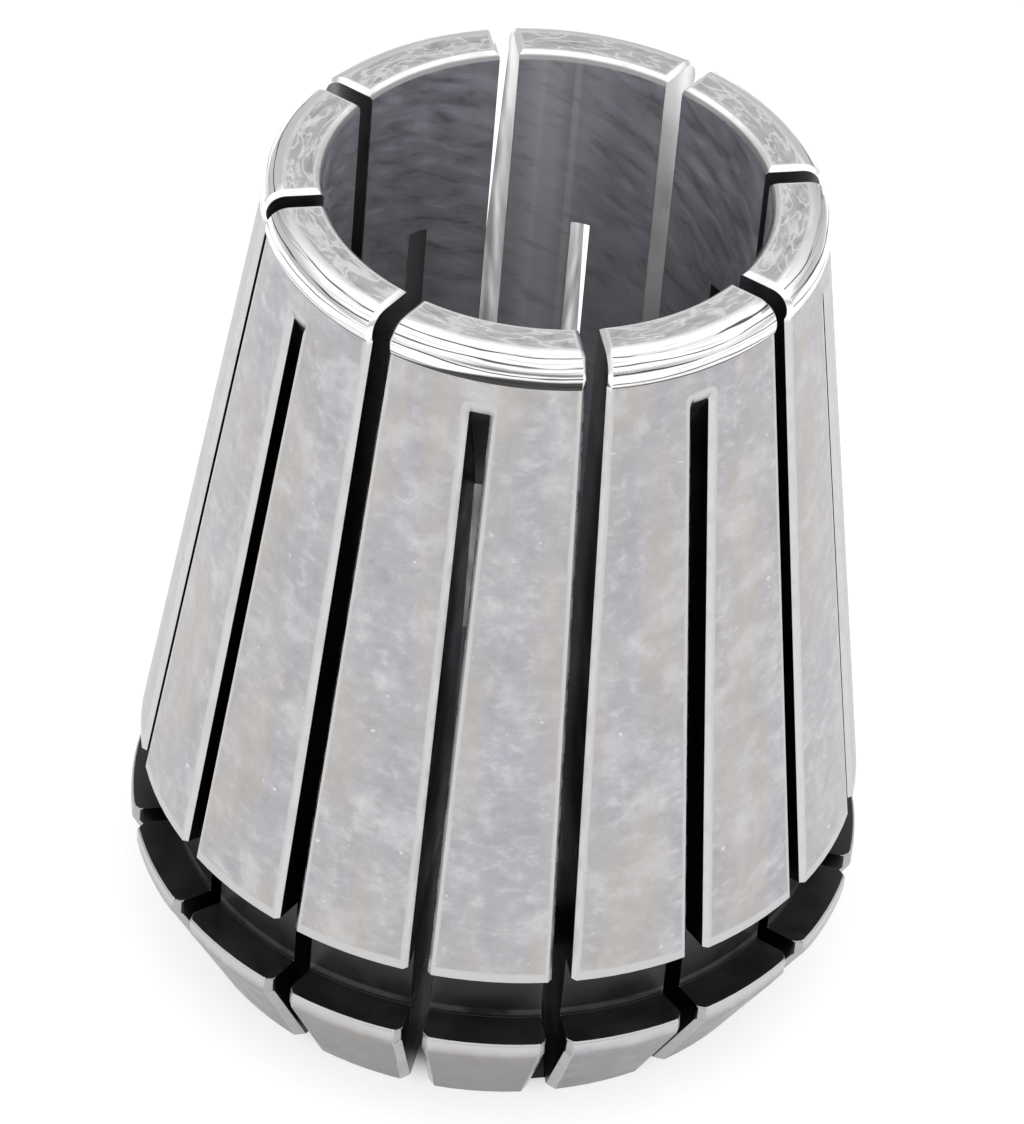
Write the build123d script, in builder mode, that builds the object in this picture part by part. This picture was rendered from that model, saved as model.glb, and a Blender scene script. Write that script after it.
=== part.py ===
from build123d import *
import os
from math import hypot, radians, sqrt, tan

# Collet for a 33 mm spring collet chuck, one sprung piece of steel. It stands on its front
# face with the small rear end up, and the axis of the bore is Z. Lengths are in mm.

# overall
overall_length = 40.0
bore_diameter = 19.0
bore_edge_break = 0.3

# front flange: a 30 degree nut cone under a short cylindrical land
flange_diameter = 33.0
flange_height = 5.5
land_height = 0.8
nut_cone_half_angle = 30.0

# extraction groove behind the flange
groove_width = 3.5
groove_floor_diameter = 29.4

# seating taper, 8 degrees a side, from the groove to the rounded rear rim
taper_half_angle = 8.0
taper_large_diameter = 32.4
rear_rim_height = 1.45
rear_face_diameter = 22.2

# saw slots: eight enter from the rear and eight from the front, half a pitch apart
slots_per_end = 8
slot_width = 0.85
saw_radius = 25.0
saw_reach_radius = 8.5
front_slot_outer_end = 37.25
rear_bridge_radius = 13.0
slot_edge_break = 0.2
flange_edge_break = 0.35

# radii and heights that follow from the dimensions above
bore_radius = bore_diameter / 2
flange_radius = flange_diameter / 2
groove_floor_radius = groove_floor_diameter / 2
taper_large_radius = taper_large_diameter / 2
rear_face_radius = rear_face_diameter / 2
cone_height = flange_height - land_height
front_face_radius = flange_radius - cone_height * tan(radians(nut_cone_half_angle))
taper_bottom = flange_height + groove_width
taper_top = overall_length - rear_rim_height
taper_small_radius = taper_large_radius - (taper_top - taper_bottom) * tan(radians(taper_half_angle))
saw_axis_radius = saw_reach_radius + saw_radius
clear_radius = flange_radius + 1.0

# the rear rim is an arc that leaves the flat rear face at a tangent and ends on the taper
rim_run = taper_small_radius - rear_face_radius
rim_radius = (rim_run**2 + rear_rim_height**2) / (2 * rear_rim_height)

# the front slots end where the saw's rim meets the taper; the rear ones leave a bridge at
# the front face, from the bore out to the bridge radius
slot_end_radius = taper_large_radius - (front_slot_outer_end - taper_bottom) * tan(radians(taper_half_angle))
front_saw_height = front_slot_outer_end - sqrt(saw_radius**2 - (saw_axis_radius - slot_end_radius) ** 2)
rear_saw_height = sqrt(saw_radius**2 - (saw_axis_radius - rear_bridge_radius) ** 2)
front_arc_top = front_saw_height + sqrt(saw_radius**2 - (saw_axis_radius - clear_radius) ** 2)
rear_arc_bottom = rear_saw_height - sqrt(saw_radius**2 - (saw_axis_radius - clear_radius) ** 2)

# sweep of the saw for one rear slot: in from above, down through the taper, groove, land and
# cone, running out on an arc that leaves the fingers joined next to the bore at the front
with BuildPart() as rear_saw:
    with BuildSketch(Plane.XZ):
        with BuildLine():
            rear_run_out = RadiusArc(
                (saw_reach_radius, rear_saw_height),
                (clear_radius, rear_arc_bottom),
                -saw_radius,
            )
            Polyline(
                rear_run_out @ 1,
                (clear_radius, overall_length + 1),
                (saw_reach_radius, overall_length + 1),
                rear_run_out @ 0,
            )
        make_face()
    extrude(amount=slot_width / 2, both=True)

# sweep of the saw for one front slot: up from the front face to an arc below the rear rim
with BuildPart() as front_saw:
    with BuildSketch(Plane.XZ):
        with BuildLine():
            front_run_out = RadiusArc(
                (saw_reach_radius, front_saw_height),
                (clear_radius, front_arc_top),
                saw_radius,
            )
            Polyline(
                front_run_out @ 1,
                (clear_radius, -1),
                (saw_reach_radius, -1),
                front_run_out @ 0,
            )
        make_face()
    extrude(amount=slot_width / 2, both=True)


def on_slot_mouth(edge):
    # true for the edges of a slot wall that lie on the rear face, the rim or the taper
    middle = edge @ 0.5
    radius = hypot(middle.X, middle.Y)
    across_rear_face = middle.Z > overall_length - 0.01 and radius > bore_radius + bore_edge_break
    over_rim = middle.Z > taper_top and radius > rear_face_radius
    down_taper = edge.length > groove_width * 2 and radius > taper_small_radius
    return across_rear_face or over_rim or down_taper


def on_flange_mouth(edge):
    # true for the edges of a slot wall that lie on the land or the nut cone
    middle = edge @ 0.5
    return 0.01 < middle.Z < flange_height - 0.01 and hypot(middle.X, middle.Y) > front_face_radius


with BuildPart() as collet:
    # half section of the turned blank, from the front face round to the rear face
    with BuildSketch(Plane.XZ):
        with BuildLine():
            Polyline(
                (bore_radius, overall_length - bore_edge_break),
                (bore_radius, bore_edge_break),
                (bore_radius + bore_edge_break, 0),
                (front_face_radius, 0),
                (flange_radius, cone_height),
                (flange_radius, flange_height),
                (groove_floor_radius, flange_height),
                (groove_floor_radius, taper_bottom),
                (taper_large_radius, taper_bottom),
                (taper_small_radius, taper_top),
            )
            rim = RadiusArc(
                (taper_small_radius, taper_top),
                (rear_face_radius, overall_length),
                -rim_radius,
            )
            Polyline(
                rim @ 1,
                (bore_radius + bore_edge_break, overall_length),
                (bore_radius, overall_length - bore_edge_break),
            )
        make_face()
    revolve(axis=Axis.Z)

    # the two sets of slots alternate round the collet, half a pitch apart
    with PolarLocations(0, slots_per_end):
        add(rear_saw.part, mode=Mode.SUBTRACT)
    with PolarLocations(0, slots_per_end, start_angle=180 / slots_per_end):
        add(front_saw.part, mode=Mode.SUBTRACT)

    # the mouths of the slots are broken all the way down, more on the flange, the groove apart
    slot_walls = collet.faces().filter_by(GeomType.PLANE).filter_by(Plane.XY, reverse=True)
    chamfer(slot_walls.edges().filter_by(on_slot_mouth), slot_edge_break)
    slot_walls = collet.faces().filter_by(GeomType.PLANE).filter_by(Plane.XY, reverse=True)
    chamfer(slot_walls.edges().filter_by(on_flange_mouth), flange_edge_break)

collet.part.label = "collet"
os.makedirs("parts", exist_ok=True)
export_step(collet.part, "parts/collet.step")
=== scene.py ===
import math

import bmesh
import bpy
from mathutils import Matrix


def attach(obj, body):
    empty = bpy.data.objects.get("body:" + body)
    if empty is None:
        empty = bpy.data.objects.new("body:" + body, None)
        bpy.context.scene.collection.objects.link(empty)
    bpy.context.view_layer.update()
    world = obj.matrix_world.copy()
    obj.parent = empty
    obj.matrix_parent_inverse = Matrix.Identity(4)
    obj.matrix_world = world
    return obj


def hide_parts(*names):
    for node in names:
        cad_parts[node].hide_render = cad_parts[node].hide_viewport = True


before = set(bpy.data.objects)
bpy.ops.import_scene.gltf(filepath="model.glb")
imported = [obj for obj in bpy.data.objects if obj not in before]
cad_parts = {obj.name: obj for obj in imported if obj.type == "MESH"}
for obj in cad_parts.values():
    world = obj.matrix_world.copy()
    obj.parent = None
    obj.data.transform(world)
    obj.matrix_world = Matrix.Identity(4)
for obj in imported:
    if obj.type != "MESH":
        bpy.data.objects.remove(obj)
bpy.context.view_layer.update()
mm = 0.001

# sizes of the collet in millimetres, measured up from its front face
collet = {
    "slotsPerEnd": 8,
    "slotWidth": 0.85,
    "slotBreak": 0.2,
    "frontSlotTop": 37.25,
    "boreRadius": 9.5,
    "boreBreak": 0.3,
    "faceRadius": 11.1,
    "frontFaceRadius": 13.79,
    "rimBottom": 38.55,
    "length": 40.0,
    "flangeRadius": 16.5,
    "coneAngle": 30,
    "grooveFloor": 14.7,
    "landBottom": 4.7,
    "flangeTop": 5.5,
    "taperBottom": 9.0,
    "taperRadius": 16.2,
    "taperAngle": 8,
    # roundings, and the least angle in degrees of an edge that gets one
    "sharpFrom": 24,
    "edgeBreak": 0.05,
    "edgeSegments": 2,
    "flangeRound": 0.13,
    "roundSegments": 3,
    "slotEndBreak": 0.3,
    "slotEndWithin": 0.3,
    # what is welded, laid flat or taken for level or for skin
    "weld": 0.002,
    "shortest": 0.03,
    "flatWithin": 0.6,
    "levelWithin": 0.05,
    "skinWithin": 0.19,
}


# node helpers: a finish is one material, and a feed is a number, a colour or a socket
def newFinish(name, metallic):
    material = bpy.data.materials.new(name)
    material.use_nodes = True
    tree = material.node_tree
    shader = tree.nodes["Principled BSDF"]
    shader.inputs["Metallic"].default_value = metallic
    return material, tree, shader


def feed(tree, socket, value):
    if isinstance(value, bpy.types.NodeSocket):
        tree.links.new(value, socket)
    else:
        socket.default_value = value


def maths(tree, operation, a, b=0.0):
    node = tree.nodes.new("ShaderNodeMath")
    node.operation = operation
    feed(tree, node.inputs[0], a)
    feed(tree, node.inputs[1], b)
    return node.outputs[0]


def ramp(tree, value, start, end, low=0.0, high=1.0):
    node = tree.nodes.new("ShaderNodeMapRange")
    node.interpolation_type = "SMOOTHSTEP"
    feed(tree, node.inputs["Value"], value)
    node.inputs["From Min"].default_value = start
    node.inputs["From Max"].default_value = end
    node.inputs["To Min"].default_value = low
    node.inputs["To Max"].default_value = high
    return node.outputs["Result"]


def blend(tree, amount, first, second):
    node = tree.nodes.new("ShaderNodeMix")
    node.data_type = "RGBA"
    feed(tree, node.inputs["Factor"], amount)
    feed(tree, node.inputs["A"], first)
    feed(tree, node.inputs["B"], second)
    return node.outputs["Result"]


def grey(level, tint=(1.0, 1.0, 1.0)):
    return (level * tint[0], level * tint[1], level * tint[2], 1)


def cloud(tree, vector, scale, detail=3.0, roughness=0.5, distortion=0.0):
    node = tree.nodes.new("ShaderNodeTexNoise")
    feed(tree, node.inputs["Vector"], vector)
    node.inputs["Scale"].default_value = scale
    node.inputs["Detail"].default_value = detail
    node.inputs["Roughness"].default_value = roughness
    node.inputs["Distortion"].default_value = distortion
    return node.outputs["Fac"]


def bump(tree, shader, height, strength, depth):
    node = tree.nodes.new("ShaderNodeBump")
    node.inputs["Strength"].default_value = strength
    node.inputs["Distance"].default_value = depth
    feed(tree, node.inputs["Height"], height)
    tree.links.new(node.outputs["Normal"], shader.inputs["Normal"])


def coat(tree, shader, colour, pattern, roughness):
    # the colour of a finish, and a roughness between two values that follows a pattern
    tree.links.new(colour, shader.inputs["Base Color"])
    tree.links.new(ramp(tree, pattern, 0.3, 0.7, *roughness), shader.inputs["Roughness"])


def waver(tree, value, pattern, amount):
    # moves a distance to and fro with a pattern, so that the border it makes isn't straight
    swing = maths(tree, "MULTIPLY", maths(tree, "SUBTRACT", pattern, 0.5), amount)
    return maths(tree, "ADD", value, swing)


def measure(tree):
    # where a point is on the collet: in mm, as radius, angle and height, and unrolled
    place = tree.nodes.new("ShaderNodeTexCoord")
    point = tree.nodes.new("ShaderNodeVectorMath")
    point.operation = "SCALE"
    tree.links.new(place.outputs["Object"], point.inputs[0])
    point.inputs["Scale"].default_value = 1 / mm
    split = tree.nodes.new("ShaderNodeSeparateXYZ")
    tree.links.new(point.outputs[0], split.inputs[0])
    x, y, height = split.outputs
    squares = maths(tree, "ADD", maths(tree, "MULTIPLY", x, x), maths(tree, "MULTIPLY", y, y))
    radius = maths(tree, "SQRT", squares)
    angle = maths(tree, "ARCTAN2", y, x)
    return {"point": point.outputs[0], "radius": radius, "angle": angle, "height": height}


def turnFrom(tree, at, degrees):
    # how far round the axis a point is from an angle, either way
    return maths(tree, "ABSOLUTE", maths(tree, "SUBTRACT", at["angle"], math.radians(degrees)))


def unroll(tree, at, around, outward, upward):
    # a vector for streaks: how fast a pattern changes round, out from and along the axis
    node = tree.nodes.new("ShaderNodeCombineXYZ")
    tree.links.new(maths(tree, "MULTIPLY", at["angle"], around), node.inputs[0])
    tree.links.new(maths(tree, "MULTIPLY", at["radius"], outward), node.inputs[1])
    tree.links.new(maths(tree, "MULTIPLY", at["height"], upward), node.inputs[2])
    return node.outputs[0]


def wrap(tree, at, down, around, along):
    # a vector for lines round the rim: how fast a pattern changes round it and down it
    node = tree.nodes.new("ShaderNodeCombineXYZ")
    tree.links.new(maths(tree, "MULTIPLY", at["angle"], around), node.inputs[0])
    tree.links.new(maths(tree, "MULTIPLY", down, along), node.inputs[1])
    return node.outputs[0]


def slant(tree, at, degrees, along, across):
    # a vector for marks that climb round the bore at an angle
    turn = math.radians(degrees)
    rounds = maths(tree, "MULTIPLY", at["angle"], collet["boreRadius"])
    node = tree.nodes.new("ShaderNodeCombineXYZ")
    axes = [(math.cos(turn), math.sin(turn), along), (-math.sin(turn), math.cos(turn), across)]
    for socket, (a, b, rate) in zip(node.inputs, axes):
        sideways = maths(tree, "MULTIPLY", rounds, a * rate)
        climbing = maths(tree, "MULTIPLY", at["height"], b * rate)
        tree.links.new(maths(tree, "ADD", sideways, climbing), socket)
    return node.outputs[0]


def slotGap(tree, at):
    # distance in mm from the nearest slot mouth
    halfPitch = math.pi / collet["slotsPerEnd"]
    toRear = maths(tree, "PINGPONG", at["angle"], halfPitch)
    toFront = maths(tree, "SUBTRACT", halfPitch, toRear)
    gaps = []
    for turn in (toRear, toFront):
        middle = maths(tree, "MULTIPLY", at["radius"], maths(tree, "SINE", turn))
        gaps.append(maths(tree, "SUBTRACT", middle, collet["slotWidth"] / 2))
    beside = maths(tree, "POWER", maths(tree, "MAXIMUM", gaps[1], 0.0), 2.0)
    above = maths(tree, "MAXIMUM", maths(tree, "SUBTRACT", at["height"], collet["frontSlotTop"]), 0.0)
    corner = maths(tree, "SQRT", maths(tree, "ADD", beside, maths(tree, "POWER", above, 2.0)))
    # the rear slots stop short of the front face, so there they count as far away
    bridge = ramp(tree, at["height"], 0.05, 0.0, 0.0, collet["faceRadius"])
    return maths(tree, "MINIMUM", maths(tree, "ADD", gaps[0], bridge), corner)


# ground steel of the taper, the land and the nut cone
groundFinish = {
    "bands": [
        (0.26, (0.40, 0.415, 0.46)),
        (0.38, (0.435, 0.42, 0.45)),
        (0.50, (0.45, 0.435, 0.45)),
        (0.60, (0.455, 0.435, 0.42)),
        (0.70, (0.475, 0.46, 0.46)),
    ],
    "milk": 0.8,
    "dull": 0.25,
    "fleck": 0.27,
    "nick": 0.95,
    "edge": 0.58,
    "highlightAmount": 0.85,
    "cone": 0.53,
    "roughness": (0.28, 0.42),
}


def groundSteel():
    material, tree, shader = newFinish("groundSteel", 1.0)
    at = measure(tree)
    streaks = cloud(tree, unroll(tree, at, 5.4, 0.0, 0.09), 1.0, 2, 0.55)
    bands = tree.nodes.new("ShaderNodeValToRGB")
    while len(bands.color_ramp.elements) < len(groundFinish["bands"]):
        bands.color_ramp.elements.new(0.5)
    for element, (position, colour) in zip(bands.color_ramp.elements, groundFinish["bands"]):
        element.position = position
        element.color = (*colour, 1)
    tree.links.new(streaks, bands.inputs["Fac"])
    colour = bands.outputs["Color"]
    # milky haze, with worn flecks in it
    haze = cloud(tree, at["point"], 0.5, 5, 0.6, 0.2)
    colour = blend(tree, ramp(tree, haze, 0.47, 0.68, 0.0, 0.3), colour, grey(groundFinish["milk"]))
    colour = blend(tree, ramp(tree, haze, 0.5, 0.32, 0.0, 0.2), colour, grey(groundFinish["dull"]))
    where = ramp(tree, streaks, 0.64, 0.42, 0.25, 1.0)
    flecks = cloud(tree, unroll(tree, at, 17.0, 0.3, 1.7), 1.0, 4, 0.66, 0.25)
    pale = maths(tree, "MULTIPLY", ramp(tree, flecks, 0.48, 0.76, 0.0, 0.36), where)
    colour = blend(tree, pale, colour, grey(groundFinish["milk"]))
    dark = maths(tree, "MULTIPLY", ramp(tree, flecks, 0.5, 0.26, 0.0, 0.3), where)
    colour = blend(tree, dark, colour, grey(groundFinish["fleck"]))
    # a few small bright nicks
    nicks = cloud(tree, at["point"], 2.3, 1, 0.5)
    nick = maths(tree, "MULTIPLY", ramp(tree, nicks, 0.75, 0.81), where)
    colour = blend(tree, maths(tree, "MULTIPLY", nick, 0.5), colour, grey(groundFinish["nick"]))
    # painted highlight: brighter along the slots, over the groove and on the land; painted shade: the cone is
    # painted darker
    height = at["height"]
    overGroove = maths(tree, "ABSOLUTE", maths(tree, "SUBTRACT", height, collet["taperBottom"]))
    edge = maths(tree, "MINIMUM", slotGap(tree, at), maths(tree, "SUBTRACT", overGroove, 0.12))
    edge = waver(tree, edge, haze, 0.2)
    paleBand = ramp(tree, edge, 0.4, 0.28)
    onCone = ramp(tree, height, collet["landBottom"] + 0.35, collet["landBottom"] - 0.25)
    upLand = ramp(tree, height, collet["landBottom"] + 0.05, collet["flangeTop"] - 0.15)
    underTop = ramp(tree, height, collet["flangeTop"] + 0.1, collet["flangeTop"])
    onLand = maths(tree, "MULTIPLY", underTop, upLand)
    # painted shade: the nut cone is painted darker, towards black
    colour = blend(tree, maths(tree, "MULTIPLY", onCone, 1 - groundFinish["cone"]), colour, grey(0.0))
    bright = maths(tree, "MULTIPLY", maths(tree, "MAXIMUM", paleBand, onLand), groundFinish["highlightAmount"])
    colour = blend(tree, bright, colour, grey(groundFinish["edge"]))
    coat(tree, shader, colour, haze, groundFinish["roughness"])
    bump(tree, shader, cloud(tree, unroll(tree, at, 6.0, 9.0, 9.0), 1.0, 1, 0.6), 0.25, 0.01 * mm)
    return material


# turned steel of the rear rim: the round over its edge, and the flat face inside it
rimFinish = {
    "roundCentre": 38.966,
    "roundRadius": 1.034,
    "bright": 0.95,
    "line": 0.1,
    "lineTint": (1, 0.97, 1),
    "linesPerMm": 2.5,
    "fineRate": 2.7,
    "wander": 1.3,
    "patch": 0.72,
    "creaseShade": 0.02,
    "creaseMiddle": -98,
    "creaseReach": 36,
    "creaseFull": 6,
    "creaseStarts": (-88, -91),
    "creaseDeep": 0.4,
    "creaseWander": 0.16,
    "creaseFrom": (1.92, 2.06),
    "roughness": (0.14, 0.26),
    "face": 0.66,
    "faceStreak": 0.97,
    "faceDull": 0.42,
    "faceHighlight": 0.98,
    "faceOver": 0.06,
    "faceRoughness": (0.22, 0.34),
}


def turnedRim():
    material, tree, shader = newFinish("turnedRim", 1.0)
    at = measure(tree)
    # how far down the round a point is, from its height alone
    rise = maths(tree, "SUBTRACT", at["height"], rimFinish["roundCentre"])
    up = maths(tree, "DIVIDE", rise, rimFinish["roundRadius"])
    tilt = maths(tree, "ARCCOSINE", maths(tree, "MINIMUM", up, 1.0))
    down = maths(tree, "MULTIPLY", tilt, rimFinish["roundRadius"])
    # long tool lines round the rim, that wander and fade
    turning = cloud(tree, wrap(tree, at, down, 2.2, 1.2), 1.0, 2, 0.5)
    fading = cloud(tree, wrap(tree, at, down, 3.1, 3.0), 1.0, 1, 0.5)
    evenly = maths(tree, "MULTIPLY", down, rimFinish["linesPerMm"])
    place = maths(tree, "ADD", evenly, maths(tree, "MULTIPLY", turning, rimFinish["wander"]))
    lines = ramp(tree, maths(tree, "PINGPONG", place, 0.5), 0.11, 0.04)
    lines = maths(tree, "MULTIPLY", lines, ramp(tree, fading, 0.38, 0.5, 0.25, 1.0))
    closer = maths(tree, "MULTIPLY", place, rimFinish["fineRate"])
    fine = ramp(tree, maths(tree, "PINGPONG", closer, 0.5), 0.2, 0.06)
    fine = maths(tree, "MULTIPLY", fine, ramp(tree, fading, 0.54, 0.42, 0.0, 0.35))
    patchy = ramp(tree, turning, 0.42, 0.3, 0.0, 0.4)
    colour = blend(tree, patchy, grey(rimFinish["bright"]), grey(rimFinish["patch"]))
    lines = maths(tree, "MAXIMUM", lines, fine)
    colour = blend(tree, lines, colour, grey(rimFinish["line"], rimFinish["lineTint"]))
    # painted highlight: the top of the round, by the flat face, is painted plain bright over the lines
    colour = blend(tree, ramp(tree, down, 0.42, 0.3), colour, grey(rimFinish["bright"]))
    # painted shade: the round runs down into a crease over the taper that is painted dark, widest at the
    # front
    away = turnFrom(tree, at, rimFinish["creaseMiddle"])
    reach, full = math.radians(rimFinish["creaseReach"]), math.radians(rimFinish["creaseFull"])
    deep = ramp(tree, away, reach, full, 0.0, rimFinish["creaseDeep"])
    starts = [math.radians(angle) for angle in rimFinish["creaseStarts"]]
    deep = maths(tree, "MULTIPLY", deep, ramp(tree, at["angle"], *starts))
    depth = maths(tree, "ADD", deep, maths(tree, "MULTIPLY", turning, rimFinish["creaseWander"]))
    creaseShade = ramp(tree, maths(tree, "ADD", down, depth), *rimFinish["creaseFrom"])
    colour = blend(tree, maths(tree, "MULTIPLY", creaseShade, 0.96), colour, grey(rimFinish["creaseShade"]))
    coat(tree, shader, colour, turning, rimFinish["roughness"])
    bump(tree, shader, turning, 0.3, 0.05 * mm)
    return material


def turnedFace():
    material, tree, shader = newFinish("turnedFace", 1.0)
    at = measure(tree)
    turning = cloud(tree, unroll(tree, at, 8.0, 2.2, 0.0), 1.0, 3, 0.6, 0.8)
    streaky = ramp(tree, turning, 0.52, 0.64, 0.0, 0.7)
    colour = blend(tree, streaky, grey(rimFinish["face"]), grey(rimFinish["faceStreak"]))
    colour = blend(tree, ramp(tree, turning, 0.44, 0.32, 0.0, 0.5), colour, grey(rimFinish["faceDull"]))
    # bright scribbles where a tool has rubbed
    rub = cloud(tree, unroll(tree, at, 5.0, 1.5, 0.0), 1.0, 2, 0.5, 0.4)
    offMiddle = maths(tree, "ABSOLUTE", maths(tree, "SUBTRACT", rub, 0.5))
    scribble = ramp(tree, offMiddle, 0.034, 0.014, 0.0, 0.9)
    colour = blend(tree, scribble, colour, grey(rimFinish["faceStreak"]))
    # painted highlight: brighter along the bore, along the slots, and at the rim or the nut cone where the
    # face ends
    inner = maths(tree, "SUBTRACT", at["radius"], collet["boreRadius"] + collet["boreBreak"])
    ends = collet["frontFaceRadius"], collet["faceRadius"] + rimFinish["faceOver"]
    reach = ramp(tree, at["height"], collet["landBottom"], collet["rimBottom"], *ends)
    outer = maths(tree, "SUBTRACT", reach, at["radius"])
    edge = maths(tree, "MINIMUM", inner, outer)
    besideSlot = maths(tree, "SUBTRACT", slotGap(tree, at), collet["slotBreak"])
    edge = waver(tree, maths(tree, "MINIMUM", edge, besideSlot), turning, 0.2)
    colour = blend(tree, ramp(tree, edge, 0.16, 0.06, 0.0, 0.9), colour, grey(rimFinish["faceHighlight"]))
    coat(tree, shader, colour, turning, rimFinish["faceRoughness"])
    bump(tree, shader, turning, 0.25, 0.04 * mm)
    return material


# chamfers along the slots and round the bore, brightest at the rear
edgeFinish = {
    "bright": 0.97,
    "side": 0.6,
    "flange": 0.42,
    "bore": 0.3,
    "worn": 0.5,
    "roughness": (0.2, 0.34),
}


def brokenEdge():
    material, tree, shader = newFinish("brokenEdge", 1.0)
    at = measure(tree)
    wear = cloud(tree, at["point"], 0.9, 2, 0.6)
    level = ramp(tree, at["height"], collet["rimBottom"] - 0.2, collet["rimBottom"] + 0.2)
    colour = blend(tree, level, grey(edgeFinish["side"]), grey(edgeFinish["bright"]))
    colour = blend(tree, ramp(tree, wear, 0.5, 0.7, 0.0, 0.3), colour, grey(edgeFinish["worn"]))
    onFlange = ramp(tree, at["height"], collet["flangeTop"] + 1.0, collet["flangeTop"])
    colour = blend(tree, onFlange, colour, grey(edgeFinish["flange"]))
    inBore = ramp(tree, at["radius"], collet["boreRadius"] + 0.2, collet["boreRadius"] + 0.1)
    colour = blend(tree, inBore, colour, grey(edgeFinish["bore"]))
    coat(tree, shader, colour, wear, edgeFinish["roughness"])
    return material


# the bore is honed, darker than the outside, and paler down one finger
boreFinish = {
    "colour": (0.69, 0.69, 0.755),
    "dark": (0.56, 0.56, 0.625),
    "brown": (0.66, 0.625, 0.64),
    "hone": (0.9, 0.92, 1.0),
    "warm": (0.95, 0.92, 0.93),
    "honeDark": 0.2,
    "slant": 24,
    "roughness": (0.32, 0.5),
    # strips made paler: middle and reach in degrees, and amount
    "paleBand": [(79.0, 7.5, 0.7), (80.5, 1.1, 0.6), (71.5, 1.4, 0.6)],
}


def boreSteel():
    material, tree, shader = newFinish("boreSteel", 0.85)
    at = measure(tree)
    hone = cloud(tree, slant(tree, at, boreFinish["slant"], 0.45, 1.5), 1.0, 4, 0.62, 0.5)
    streaks = cloud(tree, unroll(tree, at, 5.0, 0.0, 0.05), 1.0, 1, 0.5)
    stain = cloud(tree, at["point"], 0.16, 2, 0.5)
    colour = blend(tree, ramp(tree, streaks, 0.6, 0.34), (*boreFinish["colour"], 1), (*boreFinish["dark"], 1))
    colour = blend(tree, ramp(tree, stain, 0.44, 0.6, 0.0, 0.6), colour, (*boreFinish["brown"], 1))
    for middle, reach, amount in boreFinish["paleBand"]:
        away = turnFrom(tree, at, middle)
        paleBand = ramp(tree, away, math.radians(reach), math.radians(reach * 0.3), 0.0, amount)
        colour = blend(tree, paleBand, colour, (*boreFinish["warm"], 1))
    colour = blend(tree, ramp(tree, hone, 0.5, 0.76, 0.0, 0.5), colour, (*boreFinish["hone"], 1))
    colour = blend(tree, ramp(tree, hone, 0.5, 0.24, 0.0, 0.45), colour, grey(boreFinish["honeDark"]))
    coat(tree, shader, colour, hone, boreFinish["roughness"])
    bump(tree, shader, streaks, 0.3, 0.03 * mm)
    return material


# the groove is oxide black, with a greyer tool line in the corner at its foot
grooveFinish = {
    "colour": (0.0085, 0.0078, 0.0095),
    "stain": (0.018, 0.018, 0.02),
    "line": (0.075, 0.077, 0.082),
    "lineHeight": 0.3,
    "roughness": (0.34, 0.5),
}


def blackOxide():
    material, tree, shader = newFinish("blackOxide", 0.0)
    at = measure(tree)
    stain = cloud(tree, at["point"], 0.5, 3, 0.6)
    stained = ramp(tree, stain, 0.35, 0.7)
    colour = blend(tree, stained, (*grooveFinish["colour"], 1), (*grooveFinish["stain"], 1))
    fromLine = maths(tree, "SUBTRACT", at["height"], collet["flangeTop"] + grooveFinish["lineHeight"])
    corner = ramp(tree, maths(tree, "ABSOLUTE", fromLine), 0.2, 0.12)
    onFloor = ramp(tree, at["radius"], collet["grooveFloor"] + 0.1, collet["grooveFloor"] + 0.04)
    worn = maths(tree, "MULTIPLY", corner, onFloor)
    worn = maths(tree, "MULTIPLY", worn, ramp(tree, stain, 0.35, 0.55, 0.15, 1.0))
    colour = blend(tree, worn, colour, (*grooveFinish["line"], 1))
    coat(tree, shader, colour, stain, grooveFinish["roughness"])
    return material


# the sawn walls are bare steel by the bore and painted black towards the skin, as the shade inside the narrow
# slots
wallFinish = {
    "black": (0.035, 0.032, 0.034),
    "bare": (0.85, 0.84, 0.84),
    "bareTo": 10.9,
    "blackFrom": 12.6,
    "shadedWall": (0.28, 0.27, 0.275),
    "litMiddle": 67,
    "litReach": 42,
    "litFade": 12,
    "sawnSwing": 1.2,
    "roughness": (0.26, 0.4),
}


def slotWall():
    material, tree, shader = newFinish("slotWall", 1.0)
    at = measure(tree)
    sawn = cloud(tree, at["point"], 0.3, 2, 0.5)
    depth = waver(tree, at["radius"], sawn, wallFinish["sawnSwing"])
    bare = ramp(tree, depth, wallFinish["blackFrom"], wallFinish["bareTo"])
    # painted light: the walls are painted light in the slots on one side, as if lit, and darker elsewhere, as
    # if shaded
    away = turnFrom(tree, at, wallFinish["litMiddle"])
    reach, fade = wallFinish["litReach"], wallFinish["litFade"]
    litSide = ramp(tree, away, math.radians(reach), math.radians(reach - fade))
    steel = blend(tree, litSide, (*wallFinish["shadedWall"], 1), (*wallFinish["bare"], 1))
    # painted shade: the walls are black towards the skin
    colour = blend(tree, bare, (*wallFinish["black"], 1), steel)
    coat(tree, shader, colour, sawn, wallFinish["roughness"])
    return material


# the collet: its sawn and turned skin, every corner rounded over
def skinRadius(height):
    if height < collet["landBottom"]:
        slope = math.tan(math.radians(collet["coneAngle"]))
        return collet["flangeRadius"] - (collet["landBottom"] - height) * slope
    if height < collet["flangeTop"]:
        return collet["flangeRadius"]
    if height < collet["taperBottom"]:
        return collet["grooveFloor"]
    slope = math.tan(math.radians(collet["taperAngle"]))
    return collet["taperRadius"] - (height - collet["taperBottom"]) * slope


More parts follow.
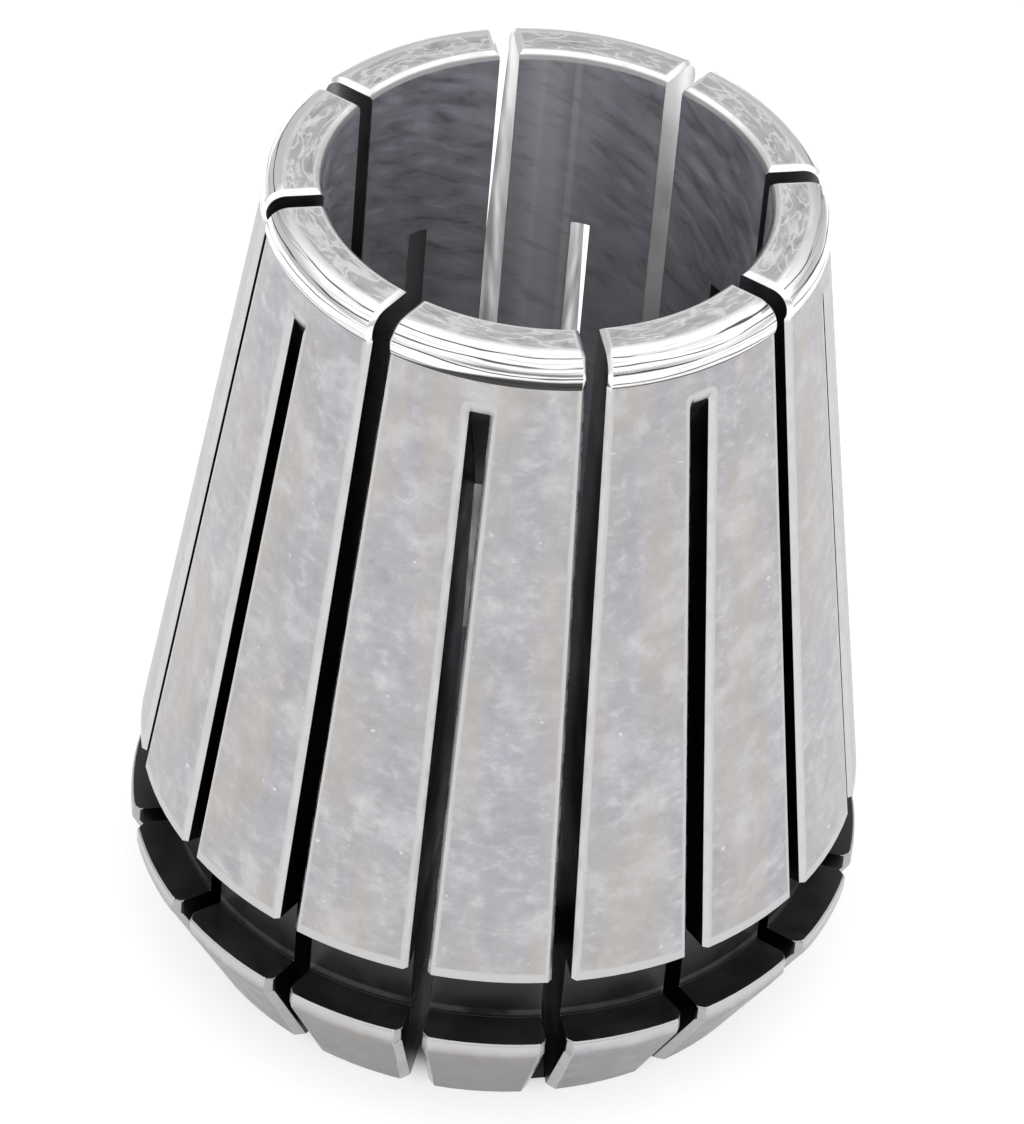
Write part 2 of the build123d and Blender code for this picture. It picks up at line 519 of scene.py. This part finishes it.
def finishOf(face):
    centre = face.calc_center_median() / mm
    radius = math.hypot(centre.x, centre.y)
    outward = (face.normal.x * centre.x + face.normal.y * centre.y) / radius
    upward = face.normal.z
    across = math.sqrt(max(0.0, 1 - outward**2 - upward**2))
    if across > 0.9:
        return "slotWall"
    if across > 0.5:
        return "brokenEdge"
    if radius < collet["boreRadius"] + collet["boreBreak"] - 0.01:
        if outward < -0.95:
            return "boreSteel"
        if outward < -0.3 and (centre.z < 0.35 or centre.z > collet["length"] - 0.35):
            return "brokenEdge"
    if centre.z > collet["rimBottom"] + 0.02:
        return "turnedFace" if upward > 0.995 else "turnedRim"
    if centre.z < 0.01:
        return "turnedFace"
    inGroove = collet["flangeTop"] - 0.01 < centre.z < collet["taperBottom"] + 0.01
    if inGroove and (abs(upward) > 0.9 or outward > 0.9):
        return "blackOxide"
    return "groundSteel" if radius > skinRadius(centre.z) - collet["skinWithin"] else "slotWall"


def onFlange(edge):
    # the edges of the land and the nut cone, but not those of the front face
    ends = [v.co / mm for v in edge.verts]
    upright = all(0.1 < end.z < collet["flangeTop"] + 0.01 for end in ends)
    return upright and all(math.hypot(end.x, end.y) > collet["grooveFloor"] for end in ends)


def overSlotEnd(edge):
    # the skin's edge over a front slot's closed end
    low, high = sorted(v.co.z / mm for v in edge.verts)
    level = high - low < collet["levelWithin"]
    return level and abs(low - collet["frontSlotTop"]) < collet["slotEndWithin"]


def roundOver(bm, names, chosen, offset, segments):
    sharpFrom = math.radians(collet["sharpFrom"])
    sharp = [edge for edge in bm.edges if edge.calc_face_angle(0) > sharpFrom and chosen(edge)]
    rounded = bmesh.ops.bevel(bm, geom=sharp, offset=offset * mm, offset_type="OFFSET", segments=segments,
                              profile=0.5, affect="EDGES", material=-1, clamp_overlap=True)
    for face in rounded["faces"]:
        face.material_index = names.index(finishOf(face))


def makeCollet(materials):
    bm = bmesh.new()
    bm.from_mesh(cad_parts["collet"].data)
    bmesh.ops.remove_doubles(bm, verts=bm.verts, dist=collet["weld"] * mm)
    flatWithin = math.radians(collet["flatWithin"])
    bmesh.ops.dissolve_limit(bm, angle_limit=flatWithin, verts=bm.verts, edges=bm.edges)
    names = list(materials)
    for face in bm.faces:
        face.smooth = True
        face.material_index = names.index(finishOf(face))
    roundOver(bm, names, overSlotEnd, collet["slotEndBreak"], 1)
    # edges too short to round are merged, because the shortest one limits every rounding
    bmesh.ops.remove_doubles(bm, verts=bm.verts, dist=collet["shortest"] * mm)
    roundOver(bm, names, onFlange, collet["flangeRound"], collet["roundSegments"])
    roundOver(bm, names, lambda edge: True, collet["edgeBreak"], collet["edgeSegments"])
    mesh = bpy.data.meshes.new("colletBody")
    bm.to_mesh(mesh)
    bm.free()
    for material in materials.values():
        mesh.materials.append(material)
    piece = bpy.data.objects.new("colletBody", mesh)
    bpy.context.scene.collection.objects.link(piece)
    normals = piece.modifiers.new("normals", "WEIGHTED_NORMAL")
    normals.keep_sharp = True
    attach(piece, "root")
    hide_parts("collet")
    return piece


materials = {
    "groundSteel": groundSteel(),
    "blackOxide": blackOxide(),
    "slotWall": slotWall(),
    "boreSteel": boreSteel(),
    "turnedRim": turnedRim(),
    "turnedFace": turnedFace(),
    "brokenEdge": brokenEdge(),
}
body = makeCollet(materials)
print("collet body", len(body.data.polygons), "faces")


# floor, light and camera
studio = {
    "floorSize": 6.0,
    "floorColour": 0.5,
    "floorGlow": 0.66,
    "floorRoughness": 0.9,
    "underneath": 11.5,
    "underneathFade": 2.0,
    "lampSide": (0.0, -0.5, 0.866),
    "lampEdge": (0.12, 0.4),
    "bright": 1.15,
    "dim": 0.55,
    "frontHorizon": 0.12,
    "horizonFrom": (0.3, 0.1),
    "frontFrom": (-0.5, -0.85),
}


def makeFloor():
    bm = bmesh.new()
    bmesh.ops.create_grid(bm, x_segments=1, y_segments=1, size=studio["floorSize"] / 2)
    mesh = bpy.data.meshes.new("floor")
    bm.to_mesh(mesh)
    bm.free()
    floor = bpy.data.objects.new("floor", mesh)
    bpy.context.scene.collection.objects.link(floor)
    material, tree, shader = newFinish("floorPaper", 0.0)
    shader.inputs["Base Color"].default_value = grey(studio["floorColour"])
    shader.inputs["Roughness"].default_value = studio["floorRoughness"]
    shader.inputs["Specular IOR Level"].default_value = 0.0
    shader.inputs["Emission Color"].default_value = (1, 1, 1, 1)
    path = tree.nodes.new("ShaderNodeLightPath")
    seen = maths(tree, "MAXIMUM", path.outputs["Is Camera Ray"], path.outputs["Is Glossy Ray"])
    seen = maths(tree, "MAXIMUM", seen, path.outputs["Is Transmission Ray"])
    # no glow on the paper that the collet stands on, or inside its bore
    edge = studio["underneath"] + studio["underneathFade"]
    shade = ramp(tree, measure(tree)["radius"], studio["underneath"], edge)
    seen = maths(tree, "MULTIPLY", seen, shade)
    tree.links.new(maths(tree, "MULTIPLY", seen, studio["floorGlow"]), shader.inputs["Emission Strength"])
    mesh.materials.append(material)


def makeSky():
    world = bpy.data.worlds.new("studio")
    bpy.context.scene.world = world
    world.use_nodes = True
    tree = world.node_tree
    place = tree.nodes.new("ShaderNodeTexCoord")
    split = tree.nodes.new("ShaderNodeSeparateXYZ")
    tree.links.new(place.outputs["Generated"], split.inputs[0])
    facing = tree.nodes.new("ShaderNodeVectorMath")
    facing.operation = "DOT_PRODUCT"
    tree.links.new(place.outputs["Generated"], facing.inputs[0])
    facing.inputs[1].default_value = studio["lampSide"]
    level = ramp(tree, facing.outputs["Value"], *studio["lampEdge"], studio["dim"], studio["bright"])
    low = ramp(tree, split.outputs["Z"], *studio["horizonFrom"])
    front = maths(tree, "MULTIPLY", low, ramp(tree, split.outputs["Y"], *studio["frontFrom"]))
    glow = blend(tree, front, grey(1.0), grey(studio["frontHorizon"]))
    background = tree.nodes["Background"]
    tree.links.new(glow, background.inputs["Color"])
    tree.links.new(level, background.inputs["Strength"])


makeFloor()
makeSky()
print("floor and light")

view = {
    "turn": -13.1,
    "back": 0.2222,
    "height": 0.2055,
    "down": 40.00,
    "roll": 5.11,
    "sensor": 36,
    "focal": 6561,
    "frameHeight": 1124,
    "shift": (-0.0022, 0.0025),
}


def makeCamera():
    data = bpy.data.cameras.new("camera")
    data.sensor_width = view["sensor"]
    data.lens = view["focal"] / view["frameHeight"] * view["sensor"]
    data.shift_x, data.shift_y = view["shift"]
    data.clip_start = 0.01
    camera = bpy.data.objects.new("camera", data)
    bpy.context.scene.collection.objects.link(camera)
    turn = Matrix.Rotation(math.radians(view["turn"]), 4, "Z")
    place = Matrix.Translation((0, -view["back"], view["height"]))
    tilt = Matrix.Rotation(math.radians(90 - view["down"]), 4, "X")
    roll = Matrix.Rotation(math.radians(view["roll"]), 4, "Z")
    camera.matrix_world = turn @ place @ tilt @ roll
    bpy.context.scene.camera = camera


makeCamera()
bpy.context.scene.view_settings.view_transform = "Standard"
print("camera placed")
